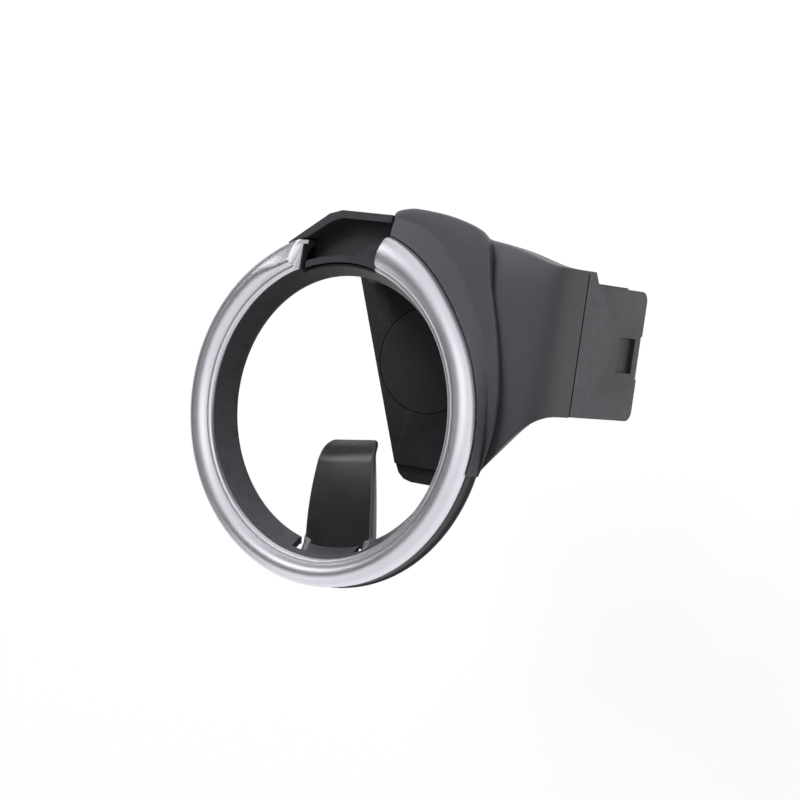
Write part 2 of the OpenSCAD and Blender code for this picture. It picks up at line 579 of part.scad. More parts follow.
// SCREWS: shank and pan head along +z, the tip up
module screw(l, head = 4) {
    translate([0, 0, -1.3]) cylinder(d = head, h = 1.3);
    cylinder(d = 2, h = l);
}
module cheek_screws() color(steel) at_cup() for (b = boss_list) rotate(b[0])
    translate([b[1], 0, flange_z]) screw(flange_t + boss_bore - 0.4);
module tongue_screws() color(steel) at_cup() for (b = root_screws)
    translate([tongue_x - 3.9, b[0], b[1]]) rotate([0, -90, 0]) difference() {
        screw(7.4);
        translate([0, 0, -2]) cylinder(d = 1.4, h = 1.4, $fn = 6);
    }
module shelf_screws() color(steel) at_cup() at_shelf() for (b = shelf_bosses)
    translate([b[0], b[1], -shelf_t]) screw(7.4);

hoop();
trim_ring();
cheek();
pocket();
neck();
carrier();
shelf();
shelf_pad();
tongue();
finger();
finger_pin();
finger_spring();
hinge_tab();
cheek_screws();
tongue_screws();
shelf_screws();
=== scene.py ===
import bpy
import numpy as np
from math import radians
from mathutils import Matrix, Vector


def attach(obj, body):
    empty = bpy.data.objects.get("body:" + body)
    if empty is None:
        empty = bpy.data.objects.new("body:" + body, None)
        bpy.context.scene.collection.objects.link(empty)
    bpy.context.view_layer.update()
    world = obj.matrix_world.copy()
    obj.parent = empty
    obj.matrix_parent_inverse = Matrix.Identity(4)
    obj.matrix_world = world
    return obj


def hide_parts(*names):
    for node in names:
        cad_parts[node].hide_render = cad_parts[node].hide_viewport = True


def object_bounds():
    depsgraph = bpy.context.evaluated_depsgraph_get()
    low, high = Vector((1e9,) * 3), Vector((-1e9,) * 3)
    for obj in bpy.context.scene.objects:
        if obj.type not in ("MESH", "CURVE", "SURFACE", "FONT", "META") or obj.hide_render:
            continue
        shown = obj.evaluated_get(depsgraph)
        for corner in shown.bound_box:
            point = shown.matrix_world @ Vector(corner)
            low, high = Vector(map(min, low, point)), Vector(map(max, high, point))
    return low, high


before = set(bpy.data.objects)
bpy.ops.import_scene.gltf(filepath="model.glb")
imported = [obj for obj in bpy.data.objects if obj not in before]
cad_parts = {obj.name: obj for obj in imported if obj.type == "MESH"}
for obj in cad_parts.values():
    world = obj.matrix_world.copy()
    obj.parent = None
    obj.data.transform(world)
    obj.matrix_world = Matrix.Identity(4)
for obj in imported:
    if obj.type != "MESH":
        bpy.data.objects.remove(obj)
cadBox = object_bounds()
scene = bpy.context.scene
cupAxis = np.array([-60.0, -25.0, 39.0])   # cup axis and lip plane, from the tongue's face, mm


def toFrame(points):
    # millimetres about the cup axis, moved to the tongue's face and turned into metres
    return (np.asarray(points, float) + cupAxis) / 1000.0


def ringPoints(radius, angle, height):
    # a point is (radius * cos angle, radius * sin angle, height), for whole arrays at once
    return np.stack([radius * np.cos(angle), radius * np.sin(angle), height + 0 * radius], axis=-1)


def quarterCircle(share):
    # from 1 at share 0 to 0 at share 1 along a quarter circle: 1 - sqrt(1 - (1 - share)^2)
    return 1 - np.sqrt(1 - (1 - np.clip(share, 0, 1)) ** 2)


def gridFaces(rows, cols, closeCols, flip=False):
    # quad (i, j) joins grid points (i, j), (i, j+1), (i+1, j+1), (i+1, j), columns closing on themselves
    last = cols if closeCols else cols - 1
    i, j = np.meshgrid(np.arange(rows - 1), np.arange(last), indexing="ij")
    k = (j + 1) % cols
    corners = [i * cols + j, i * cols + k, (i + 1) * cols + k, (i + 1) * cols + j]
    quads = np.stack(corners, axis=-1).reshape(-1, 4)
    return quads[:, ::-1] if flip else quads


def closedGrids(grids):
    # several tubes of closed loops in one mesh, each with a cap on its first and last loop;
    # a tube is flipped where its loops run the other way, so that every face points outwards
    points, faces, start = [], [], 0
    for grid, flip in grids:
        rows, cols = grid.shape[:2]
        quads = gridFaces(rows, cols, True, flip) + start
        first, last = start + np.arange(cols), start + (rows - 1) * cols + np.arange(cols)
        caps = [first, last[::-1]] if flip else [first[::-1], last]
        faces += quads.tolist() + [c.tolist() for c in caps]
        points.append(grid.reshape(-1, 3))
        start += rows * cols
    return np.concatenate(points), faces


def makePiece(name, points, faces, material, body):
    mesh = bpy.data.meshes.new(name)
    mesh.from_pydata(np.asarray(points).reshape(-1, 3).tolist(), [], [list(map(int, f)) for f in faces])
    mesh.polygons.foreach_set("use_smooth", np.full(len(mesh.polygons), True))
    mesh.update()
    piece = bpy.data.objects.new(name, mesh)
    scene.collection.objects.link(piece)
    mesh.materials.append(material)
    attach(piece, body)
    return piece


def addModifier(piece, label, kind, **values):
    modifier = piece.modifiers.new(label, kind)
    for key, value in values.items():
        setattr(modifier, key, value)


# shader groups
def newGroup(name, inputs, outputs):
    group = bpy.data.node_groups.new(name, "ShaderNodeTree")
    for label, value in inputs.items():
        group.interface.new_socket(label, in_out="INPUT", socket_type="NodeSocketFloat").default_value = value
    for label in outputs:
        group.interface.new_socket(label, in_out="OUTPUT", socket_type="NodeSocketFloat")
    return group, group.nodes.new("NodeGroupInput"), group.nodes.new("NodeGroupOutput")


def feed(tree, socket, value):
    # a socket takes a plain value, or a link from another node
    if isinstance(value, (int, float, tuple)):
        socket.default_value = value
    else:
        tree.links.new(value, socket)


def mathNode(tree, operation, a, b, clamp=False):
    node = tree.nodes.new("ShaderNodeMath")
    node.operation = operation
    node.use_clamp = clamp
    feed(tree, node.inputs[0], a)
    feed(tree, node.inputs[1], b)
    return node.outputs[0]


def noiseNode(tree, vector, scale, detail, rough):
    node = tree.nodes.new("ShaderNodeTexNoise")
    for label, value in (("Vector", vector), ("Scale", scale), ("Detail", detail), ("Roughness", rough)):
        feed(tree, node.inputs[label], value)
    return node.outputs["Fac"]


def mapRange(tree, value, low, high, toLow, toHigh):
    node = tree.nodes.new("ShaderNodeMapRange")
    for label, number in (("From Min", low), ("From Max", high), ("To Min", toLow), ("To Max", toHigh)):
        node.inputs[label].default_value = number
    tree.links.new(value, node.inputs["Value"])
    return node.outputs["Result"]


def mixColor(tree, factor, a, b):
    node = tree.nodes.new("ShaderNodeMix")
    node.data_type = "RGBA"
    for index, value in ((0, factor), (6, a), (7, b)):   # factor, colour A and colour B
        feed(tree, node.inputs[index], value)
    return node.outputs[2]


def objectCoordinates(tree):
    return tree.nodes.new("ShaderNodeTexCoord").outputs["Object"]


print("stage: shader groups")
# spark grain of a moulded skin: fine cells with a slower ripple under them
grainLook = dict(smooth=0.6, ripple=(420.0, 3.0, 0.6), pits=(0.15, 0.65))
grainInputs = {"Cells per metre": 2600.0, "Ripple": 0.35}
grainGroup, gIn, gOut = newGroup("mouldGrain", grainInputs, ("Height", "Pits"))
gCoord = objectCoordinates(grainGroup)
gCells = grainGroup.nodes.new("ShaderNodeTexVoronoi")
gCells.feature = "SMOOTH_F1"
gCells.inputs["Smoothness"].default_value = grainLook["smooth"]
grainGroup.links.new(gCoord, gCells.inputs["Vector"])
grainGroup.links.new(gIn.outputs["Cells per metre"], gCells.inputs["Scale"])
gRipple = noiseNode(grainGroup, gCoord, *grainLook["ripple"])
gWave = mathNode(grainGroup, "MULTIPLY", gRipple, gIn.outputs["Ripple"])
gSum = mathNode(grainGroup, "ADD", gCells.outputs["Distance"], gWave)
gPits = mapRange(grainGroup, gCells.outputs["Distance"], *grainLook["pits"], 0.0, 1.0)
grainGroup.links.new(gSum, gOut.inputs["Height"])
grainGroup.links.new(gPits, gOut.inputs["Pits"])

# slow drift of tone and gloss over a part, with handling marks where the noise peaks
toneLook = dict(slow=(3.0, 0.55), turn=(0.3, 0.2, 0.6), stretch=(1.0, 7.0, 2.0), fine=(240.0, 4.0, 0.7),
                peaks=(0.6, 0.78))
toneGroup, tIn, tOut = newGroup("handledTone", {"Blotch size": 38.0, "Marks": 0.5}, ("Tone", "Marks"))
tCoord = objectCoordinates(toneGroup)
tSlow = noiseNode(toneGroup, tCoord, tIn.outputs["Blotch size"], *toneLook["slow"])
tStretch = toneGroup.nodes.new("ShaderNodeMapping")
tStretch.inputs["Rotation"].default_value = toneLook["turn"]
tStretch.inputs["Scale"].default_value = toneLook["stretch"]
toneGroup.links.new(tCoord, tStretch.inputs["Vector"])
tFine = noiseNode(toneGroup, tStretch.outputs["Vector"], *toneLook["fine"])
tPeaks = mapRange(toneGroup, tFine, *toneLook["peaks"], 0.0, 1.0)
toneGroup.links.new(tSlow, tOut.inputs["Tone"])
toneGroup.links.new(mathNode(toneGroup, "MULTIPLY", tPeaks, tIn.outputs["Marks"]), tOut.inputs["Marks"])

# paler rims where a corner has been rubbed, from the mesh's own pointiness
wearLook = dict(edge=(0.515, 0.56), noise=(300.0, 4.0, 0.65), broken=(0.35, 0.65, 0.2, 1.0))
wearGroup, wIn, wOut = newGroup("rubbedEdge", {"Strength": 0.5}, ("Rub",))
wPoint = wearGroup.nodes.new("ShaderNodeNewGeometry").outputs["Pointiness"]
wEdge = mapRange(wearGroup, wPoint, *wearLook["edge"], 0.0, 1.0)
wNoise = noiseNode(wearGroup, objectCoordinates(wearGroup), *wearLook["noise"])
wBreak = mapRange(wearGroup, wNoise, *wearLook["broken"])
wRub = mathNode(wearGroup, "MULTIPLY", wEdge, wBreak)
wRub = mathNode(wearGroup, "MULTIPLY", wRub, wIn.outputs["Strength"])
wearGroup.links.new(wRub, wOut.inputs["Rub"])


def placeGroup(tree, group, **values):
    node = tree.nodes.new("ShaderNodeGroup")
    node.node_tree = group
    for label, value in values.items():
        node.inputs[label.replace("_", " ")].default_value = value
    return node


# materials
def newMaterial(name):
    material = bpy.data.materials.new(name)
    material.use_nodes = True
    return material, material.node_tree


def startSkin(tree, look):
    # the tone and grain groups, and a colour that drifts between dark and light with the tone
    tone = placeGroup(tree, toneGroup, Blotch_size=look["blotch"], Marks=look["marks"])
    grain = placeGroup(tree, grainGroup, Cells_per_metre=look["cells"], Ripple=look["ripple"])
    drift = mapRange(tree, tone.outputs["Tone"], *toneSpan, 0.0, 1.0)
    return tone, grain, mixColor(tree, drift, look["dark"], look["light"])


def endSkin(tree, look, color, tone, grain, spread, markGain):
    # roughness drifts by the spread with the tone and changes at the marks; the grain is a fine relief
    shader = tree.nodes["Principled BSDF"]
    tree.links.new(color, shader.inputs["Base Color"])
    rough = mapRange(tree, tone.outputs["Tone"], *toneSpan, look["rough"] - spread, look["rough"] + spread)
    rough = mathNode(tree, "ADD", rough, mathNode(tree, "MULTIPLY", tone.outputs["Marks"], markGain), True)
    tree.links.new(rough, shader.inputs["Roughness"])
    bump = tree.nodes.new("ShaderNodeBump")
    bump.inputs["Strength"].default_value = look["bump"]
    bump.inputs["Distance"].default_value = look["depth"]
    tree.links.new(grain.outputs["Height"], bump.inputs["Height"])
    tree.links.new(bump.outputs["Normal"], shader.inputs["Normal"])
    return shader


def mouldedPlastic(name, look):
    # dark in the pits of the grain, pale where corners and handling have worn it
    material, tree = newMaterial(name)
    tone, grain, base = startSkin(tree, look)
    rub = placeGroup(tree, wearGroup, Strength=look["rub"])
    pits = mathNode(tree, "MULTIPLY", grain.outputs["Pits"], look["pitTone"])
    pitted = mixColor(tree, pits, base, look["pit"])
    scuffs = mathNode(tree, "MULTIPLY", tone.outputs["Marks"], plasticSkin["scuff"])
    worn = mixColor(tree, mathNode(tree, "MAXIMUM", rub.outputs["Rub"], scuffs), pitted, look["worn"])
    shader = endSkin(tree, look, worn, tone, grain, plasticSkin["spread"], plasticSkin["markGain"])
    shader.inputs["Specular IOR Level"].default_value = look["specular"]
    return material


def platedMetal(name, look):
    # bright metal with gloss drifting by the tone, hairline marks and a faint flow ripple
    material, tree = newMaterial(name)
    tone, grain, tint = startSkin(tree, look)
    shader = endSkin(tree, look, tint, tone, grain, metalSkin["spread"], metalSkin["markGain"])
    shader.inputs["Metallic"].default_value = 1.0
    return material


def grey(level):
    # a dark plastic colour: nearly neutral, a little blue
    return (level, level * 0.995, level * 1.14, 1.0)


print("stage: materials")
toneSpan = (0.3, 0.7)                                          # the tone noise runs between these
plasticSkin = dict(spread=0.05, markGain=-0.08, scuff=0.25)    # marks are smoother and paler on plastic
metalSkin = dict(spread=0.03, markGain=0.1)                    # marks are rougher on metal
shellLook = dict(dark=grey(0.054), light=grey(0.058), pit=grey(0.042), worn=grey(0.16),
                 pitTone=0.35, cells=2600.0, ripple=0.3, blotch=38.0, marks=0.12,
                 rub=0.2, rough=0.46, specular=0.32, bump=0.35, depth=0.00006)
# hoop look: the shell plastic darkened to half, painted shade for the cup bore, the pocket and the hinge tab
hoopShadeLook = dict(dark=grey(0.027), light=grey(0.03), pit=grey(0.02), worn=grey(0.1),
                pitTone=0.35, cells=2600.0, ripple=0.3, blotch=38.0, marks=0.1,
                rub=0.15, rough=0.46, specular=0.3, bump=0.35, depth=0.00006)
smoothLook = dict(dark=grey(0.011), light=grey(0.0125), pit=grey(0.008), worn=grey(0.09),
                  pitTone=0.2, cells=3400.0, ripple=0.5, blotch=60.0, marks=0.08,
                  rub=0.5, rough=0.28, specular=0.8, bump=0.22, depth=0.00004)
# deep look: the shell plastic darkened to about a quarter, painted shade for the shelf under the ring
deepShadeLook = dict(dark=grey(0.0145), light=grey(0.0165), pit=grey(0.011), worn=grey(0.06),
                 pitTone=0.3, cells=2200.0, ripple=0.5, blotch=45.0, marks=0.25,
                 rub=0.25, rough=0.5, specular=0.2, bump=0.4, depth=0.00006)
padLook = dict(dark=grey(0.015), light=grey(0.017), pit=grey(0.011), worn=grey(0.08),
               pitTone=0.3, cells=1500.0, ripple=0.8, blotch=90.0, marks=0.3,
               rub=0.2, rough=0.62, specular=0.3, bump=0.5, depth=0.00008)
trimLook = dict(dark=(0.8, 0.795, 0.865, 1.0), light=(0.84, 0.835, 0.9, 1.0), rough=0.4, blotch=45.0,
                marks=0.1, cells=5200.0, ripple=0.2, bump=0.012, depth=0.00002)
steelLook = dict(dark=(0.42, 0.42, 0.43, 1.0), light=(0.55, 0.55, 0.56, 1.0), rough=0.36, blotch=600.0,
                 marks=0.8, cells=4200.0, ripple=0.6, bump=0.3, depth=0.00003)
shellPlastic = mouldedPlastic("shellPlastic", shellLook)
fingerPlastic = mouldedPlastic("fingerPlastic", smoothLook)
# the deep plastic: painted shade for the shelf under the ring
deepShadePlastic = mouldedPlastic("deepShadePlastic", deepShadeLook)
# the hoop's plastic: painted shade in the cup bore, the pocket and the hinge tab
hoopShadePlastic = mouldedPlastic("hoopShadePlastic", hoopShadeLook)
padRubber = mouldedPlastic("padRubber", padLook)
satinPlate = platedMetal("satinPlate", trimLook)
zincSteel = platedMetal("zincSteel", steelLook)

# CAD nodes
# hoop, pocket and hinge tab take the half-dark copy of the shell plastic and the shelf the quarter-dark copy,
# both as painted shade
nodeFinish = dict(hoop=hoopShadePlastic, trim_ring=satinPlate, cheek=shellPlastic, pocket=hoopShadePlastic,
                  neck=shellPlastic, carrier=shellPlastic, shelf=deepShadePlastic, shelf_pad=padRubber,
                  tongue=shellPlastic, finger=fingerPlastic, finger_pin=zincSteel, finger_spring=zincSteel,
                  hinge_tab=hoopShadePlastic, cheek_screws=zincSteel, tongue_screws=zincSteel,
                  shelf_screws=zincSteel)
# edge radius of each node in mm; 0 keeps the edges sharp
nodeEdge = dict(hoop=0.25, trim_ring=0.15, cheek=0.4, pocket=0.35, neck=0.8, carrier=0.3, shelf=0.35,
                shelf_pad=0.3, tongue=0.0, finger=0.3, finger_pin=0.12, finger_spring=0.0, hinge_tab=0.12,
                cheek_screws=0.12, tongue_screws=0.12, shelf_screws=0.12)
edgeLook = dict(weld=0.000004, flat=radians(0.6), angle=radians(32.0), segments=3)


def softenEdges(piece, width):
    # weld, flatten coplanar triangles, round each sharp edge by the width, weight the normals by face area;
    # a width of 0 keeps the edges and only parts the shading there
    addModifier(piece, "weld", "WELD", merge_threshold=edgeLook["weld"])
    if width == 0:
        addModifier(piece, "corners", "EDGE_SPLIT", split_angle=edgeLook["angle"])
        return
    addModifier(piece, "planar", "DECIMATE", decimate_type="DISSOLVE", angle_limit=edgeLook["flat"])
    addModifier(piece, "round", "BEVEL", width=width / 1000.0, segments=edgeLook["segments"],
                limit_method="ANGLE", angle_limit=edgeLook["angle"], harden_normals=True,
                use_clamp_overlap=True, miter_outer="MITER_ARC")
    addModifier(piece, "normals", "WEIGHTED_NORMAL", keep_sharp=True)


print("stage: CAD nodes")
for nodeName, finish in nodeFinish.items():
    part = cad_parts[nodeName]
    part.data.materials.clear()
    part.data.materials.append(finish)
    part.data.polygons.foreach_set("use_smooth", np.full(len(part.data.polygons), True))
    softenEdges(part, nodeEdge[nodeName])

# trim
trim = dict(outerR=46.3, crownR=3.3, crownZ=-1.5, crownTurn=154, crownSteps=30, footZ=-3.0, midR=43.0,
            steps=400,                                         # sections round the ring
            endX=-15.2, endLean=0.5,                           # slanted end plane beside the pocket
            startAngle=75.5,                                   # end beside the cheek
            endRows=9, endShare=0.012,                         # closer rows near both ends
            cornerLeft=0.5, drawLeft=0.07, cornerRight=1.3, drawRight=0.05,
            grow=2.4, growFrom=34.0, growTo=76.0, growR=41.5, growSpan=4.5,
            flareTop=1.75, flareFall=0.36, flarePower=1.1, flareR=41.6, flareFromR=40.3, flareLift=0.9,
            flareLen=15.0,                                     # length of the flare along the band
            lip=[[39.0, -1.6], [38.93, -1.1], [38.97, -0.6], [39.12, -0.25], [39.38, -0.04], [39.7, 0.04],
                 [40.0, 0.05], [40.22, 0.12]],
            foot=[[46.3, -2.2], [46.26, -2.85], [46.1, -3.0], [45.3, -3.0], [45.2, -1.7], [43.0, -1.6],
                  [41.0, -1.6]])


def trimProfile():
    # lip with a small radius, hollow fillet, round crown and short outer lip: (radius, height) round the
    # section; the crown is (outerR - crownR + crownR * cos t, crownZ + crownR * sin t), t from crownTurn to 0
    crownMid = trim["outerR"] - trim["crownR"]
    turn = np.radians(np.linspace(trim["crownTurn"], 0, trim["crownSteps"]))
    crownX = crownMid + trim["crownR"] * np.cos(turn)
    crownZ = trim["crownZ"] + trim["crownR"] * np.sin(turn)
    return np.concatenate([trim["lip"], np.stack([crownX, crownZ], axis=-1), trim["foot"]])


def bandGrowth(angle):
    # how far the trim's outer edge, and the cheek's wall beside it, move out in mm:
    # grow * s^2 * (3 - 2 s), s running from 0 to 1 between the two angles
    step = np.clip((angle - trim["growFrom"]) / (trim["growTo"] - trim["growFrom"]), 0, 1)
    return trim["grow"] * step * step * (3 - 2 * step)


def trimSurface():
    # each section point runs from the slanted end plane x = endX - endLean * (z - footZ), where its angle
    # is acos(x / r), round the cup axis to the other end; near both ends the section draws in along a
    # quarter circle, and over flareLen from the first end the crown turns into the slope
    # flareTop - flareFall * (r - flareR)^flarePower
    profile = trimProfile()
    radius, height = profile[:, 0], profile[:, 1]
    first = np.arccos((trim["endX"] - trim["endLean"] * (height - trim["footZ"])) / radius)
    last = radians(360 + trim["startAngle"])
    ends = (0.5 - 0.5 * np.cos(np.pi * np.linspace(0, 1, trim["endRows"])[1:-1])) * trim["endShare"]
    share = np.unique(np.concatenate([np.linspace(0, 1, trim["steps"]), ends, 1 - ends]))[:, None]
    angle = first + share * (last - first)
    arc = share * (last - first) * trim["midR"]
    beyond = np.clip(radius - trim["flareR"], 0, None)
    slope = trim["flareTop"] - trim["flareFall"] * beyond ** trim["flarePower"]
    flared = np.where(radius > trim["flareR"], slope, np.minimum(height + trim["flareLift"], slope))
    crown = (np.arange(radius.size) < len(trim["lip"]) + trim["crownSteps"]) & (radius > trim["flareFromR"])
    flare = (0.5 + 0.5 * np.cos(np.pi * np.clip(arc / trim["flareLen"], 0, 1))) * crown
    height = height + flare * (flared - height)
    left = quarterCircle(arc / trim["cornerLeft"])
    right = quarterCircle((last - angle) * trim["midR"] / trim["cornerRight"])
    size = 1 - trim["drawLeft"] * left - trim["drawRight"] * right
    outward = bandGrowth(np.degrees(angle) - 360) * np.clip((radius - trim["growR"]) / trim["growSpan"], 0, 1)
    coreR, coreZ = profile.mean(axis=0)
    return ringPoints(coreR + (radius - coreR) * size + outward, angle, coreZ + (height - coreZ) * size)


print("stage: trim")
trimPoints, trimFaces = closedGrids([(trimSurface(), False)])
trimPiece = makePiece("trimBand", toFrame(trimPoints), trimFaces, satinPlate, "holder")
addModifier(trimPiece, "ends", "EDGE_SPLIT", split_angle=radians(50))
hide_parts("trim_ring")

# cheek
# angles A and what they set: outer edge outR, crease foldR, crease depth drop and brow depth brow below topZ
cheek = dict(tail=-12.5, endX=11.8, endLean=0.105, endZ=-2.0, endRound=0.6, stopR=50.0, degreeArc=0.87,
             stations=150, crowd=0.85, innerR=46.45, topZ=-1.6, floorZ=-7.6, edgeR=0.7,
             creaseHalf=0.35, creaseShare=0.4, rimShare=0.45, drawR=49.0, drawGap=1.5, drawZ=-6.5,
             outA=[-12.5, -10.9, -3.4, 2.8, 8.6, 14.1, 19.6, 24.9, 30.1, 35.1, 39.8, 43.1, 46, 48.4, 51,
                   54.3, 60.1, 65.6, 71, 75, 77.1, 84],
             outR=[47.2, 47.5, 48.6, 49.7, 50.5, 51.4, 52.3, 53.3, 54.7, 56.2, 58.1, 60.4, 62.8, 64.2, 64.5,
                   63.5, 61.4, 59.4, 57.7, 55.8, 54.2, 52.6],
             foldA=[-12.5, -3.6, 2.5, 11.5, 17.4, 26.1, 31.8, 37.8, 44.1, 50.3, 57.1, 64.9, 77, 84],
             foldR=[47.1, 47.6, 48, 48.7, 49.2, 50.1, 51, 51.6, 52.3, 53.3, 54.4, 55.3, 53.4, 51.8],
             dropA=[-12.5, -4, 3, 10, 17, 30, 40, 50, 60, 70, 84],
             drop=[5.4, 4.0, 3.3, 2.8, 2.5, 2.1, 1.8, 1.6, 1.4, 1.2, 1.0],
             browA=[-12.5, 20, 60], brow=[0.9, 0.5, 0.25])


def smoothTable(angle, tableA, tableV, spread):
    # a table read at each angle and averaged over a bell of the given spread, so its corners are rounded
    shift = np.linspace(-2.2, 2.2, 15)
    weight = np.exp(-shift ** 2 / 2)
    value = np.stack([np.interp(angle + spread * d, tableA, tableV) for d in shift])
    return np.tensordot(weight / weight.sum(), value, axes=1)


def cheekSurface():
    # the section is wall, brow, slope to a soft concave crease, flat outer facet, rounded edge and side
    # wall; it is carried round the cup axis, and at the far end each point stops on the plane
    # x = endX + endLean * (z - endZ)
    c = cheek
    share = np.sin(np.linspace(0, np.pi / 2, c["stations"])) ** c["crowd"]
    endMid = np.degrees(np.arccos(c["endX"] / c["stopR"]))
    angle = c["tail"] + share * (endMid - c["tail"])
    out = smoothTable(angle, c["outA"], c["outR"], 0.7)
    fold = np.minimum(smoothTable(angle, c["foldA"], c["foldR"], 2.0), out - 0.12)
    foldZ = c["topZ"] - smoothTable(angle, c["dropA"], c["drop"], 2.0)
    browZ = c["topZ"] - np.interp(angle, c["browA"], c["brow"])
    inner = c["innerR"] + bandGrowth(angle)
    band, facet, fall = fold - inner, out - fold, foldZ - browZ
    soft = np.minimum(c["creaseHalf"], c["creaseShare"] * facet)
    rim = np.minimum(c["edgeR"], facet * c["rimShare"])
    low = np.full_like(out, c["floorZ"])
    edgeZ = foldZ - 0.1 - 0.03 * facet
    sections = [(inner, low), (inner, browZ - 0.5), (inner + 0.05, browZ - 0.12), (inner + 0.2, browZ),
                (inner + 0.25 * band, browZ + 0.16 * fall), (inner + 0.5 * band, browZ + 0.42 * fall),
                (inner + 0.75 * band, browZ + 0.72 * fall), (fold - soft, foldZ + 0.16 * soft), (fold, foldZ),
                (fold + soft, foldZ), (fold + 0.45 * facet, foldZ + 0.02), (out - rim, edgeZ + 0.08),
                (out - 0.6 * rim, edgeZ), (out - 0.25 * rim, edgeZ - 0.2 * rim),
                (out - 0.04 * rim, edgeZ - 0.55 * rim), (out, edgeZ - rim),
                (out - 0.3, (edgeZ - rim + low) / 2), (out - 0.75, low + 0.3), (out - 0.95, low)]
    radius, height = [np.stack(column, axis=1) for column in zip(*sections)]
    stop = np.degrees(np.arccos((c["endX"] + c["endLean"] * (height - c["endZ"])) / radius))
    turn = c["tail"] + share[:, None] * (stop - c["tail"])
    back = (1 - share[:, None]) * (endMid - c["tail"]) * c["degreeArc"] / c["endRound"]
    draw = c["endRound"] * 0.5 * quarterCircle(back)
    radius = radius + np.sign(c["drawR"] - radius) * draw * (np.abs(radius - c["drawR"]) > c["drawGap"])
    height = height - draw * (height > c["drawZ"])
    return ringPoints(radius, np.radians(turn), height)


print("stage: cheek")
cheekPoints, cheekFaces = closedGrids([(cheekSurface(), False)])
cheekPiece = makePiece("cheekShell", toFrame(cheekPoints), cheekFaces, shellPlastic, "holder")
addModifier(cheekPiece, "creases", "EDGE_SPLIT", split_angle=radians(40))
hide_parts("cheek")

# neck
neck = dict(wall=2.2, levels=3, creases={1: 0.9, 6: 0.55})
# control net about the cup axis: rows from the lower wall over the slope to the rear wall, columns from
# the cheek to the seam
neckNet = np.array([
    [[45.4, -8.2, -9.4], [50.4, -2.4, -9.9], [55.4, 4.5, -11.6], [57.6, 7.4, -15.0], [57.9, 7.7, -20.0],
     [57.9, 7.7, -23.4]],
    [[45.6, -9.6, -7.5], [50.6, -3.0, -7.6], [56.0, 4.2, -8.7], [59.6, 7.4, -13.0], [60.0, 7.6, -19.0],
     [60.0, 7.6, -23.4]],
    [[46.0, 0.3, -6.9], [52.0, 4.5, -7.0], [57.2, 9.0, -9.2], [59.8, 10.4, -12.6], [60.0, 10.6, -19.0],
     [60.0, 10.6, -23.4]],
    [[46.2, 13.0, -5.6], [52.5, 16.0, -6.4], [57.8, 18.0, -9.3], [59.9, 18.6, -12.3], [60.0, 18.6, -19.0],
     [60.0, 18.6, -23.4]],
    [[44.5, 28.0, -5.0], [52.0, 31.0, -6.2], [57.9, 32.0, -9.4], [59.9, 32.0, -12.3], [60.0, 32.0, -19.0],
     [60.0, 32.0, -23.4]],
    [[41.0, 42.6, -5.0], [50.5, 43.4, -5.6], [57.9, 43.0, -9.5], [59.9, 43.2, -12.3], [60.0, 43.4, -19.0],
     [60.0, 43.4, -23.4]],
    [[38.6, 49.8, -7.6], [48.2, 48.7, -7.8], [56.9, 45.6, -10.2], [59.7, 45.5, -12.6], [60.0, 45.4, -19.0],
     [60.0, 45.4, -23.4]],
    [[38.6, 49.8, -9.4], [47.6, 48.5, -15.6], [53.4, 46.0, -20.0], [56.4, 45.5, -22.4], [57.0, 45.4, -22.8],
     [57.6, 45.4, -23.4]]])


def netPiece(name, net, look, material, body):
    # the net becomes a smooth sheet by subdivision and gets its wall inwards; creased rows stay tighter
    rows, cols = net.shape[:2]
    piece = makePiece(name, toFrame(net), gridFaces(rows, cols, False), material, body)
    layer = piece.data.attributes.new("crease_edge", "FLOAT", "EDGE")
    ends = np.empty(len(piece.data.edges) * 2, int)
    piece.data.edges.foreach_get("vertices", ends)
    row = np.arange(rows * cols) // cols
    first, second = row[ends[::2]], row[ends[1::2]]
    value = np.zeros(len(first))
    for index, amount in look["creases"].items():
        value[(first == index) & (second == index)] = amount
    layer.data.foreach_set("value", value)
    addModifier(piece, "smooth", "SUBSURF", levels=look["levels"], render_levels=look["levels"],
                boundary_smooth="PRESERVE_CORNERS")
    addModifier(piece, "wall", "SOLIDIFY", thickness=look["wall"] / 1000.0, offset=-1.0)
    addModifier(piece, "corners", "EDGE_SPLIT", split_angle=radians(60))
    return piece


print("stage: neck")
neckPiece = netPiece("neckShell", neckNet, neck, shellPlastic, "holder")
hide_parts("neck")

# finger
finger = dict(turn=8.0, hingeR=42.0, hingeZ=-5.5, rootY=5.9, tipY=34.6, rootHalf=11.0, tipHalf=8.5,
              sheetZ=-1.3, bow=0.0045, hookY=28.6, hook=0.075, crown=0.35, flare=0.4, flareFrom=0.72,
              cornerR=2.4, cornerDraw=0.92,
              stations=70, crowd=1.15, topPoints=25, shoulder=0.75, shoulderTurn=75, shoulderPoints=6,
              thick=1.8, skirt=1.44, skirtEnd=0.85, thinFrom=0.8, thin=0.45, skirtWall=1.7, toe=0.35,
              heel=0.3,
              legW=2.4, legX=8.6, hubR=1.8, hubTurn=(70, 300, 24),
              arm=[[2.9, -1.75], [6.6, -3.35], [8.9, -3.3], [9.4, -1.9], [7.4, -1.45], [2.8, 1.4]],
              legSteps=[0.0, 0.06, 0.2, 0.8, 0.94, 1.0], legSize=[0.9, 0.97, 1.0, 1.0, 0.97, 0.9])


def hingeFrame(points):
    # x along the pin, y towards the cup axis, z up, moved by the hinge radius and turned about the cup axis
    turn = radians(finger["turn"])
    x, y, z = points[..., 0], points[..., 1] - finger["hingeR"], points[..., 2] + finger["hingeZ"]
    return np.stack([x * np.cos(turn) - y * np.sin(turn), x * np.sin(turn) + y * np.cos(turn), z], axis=-1)


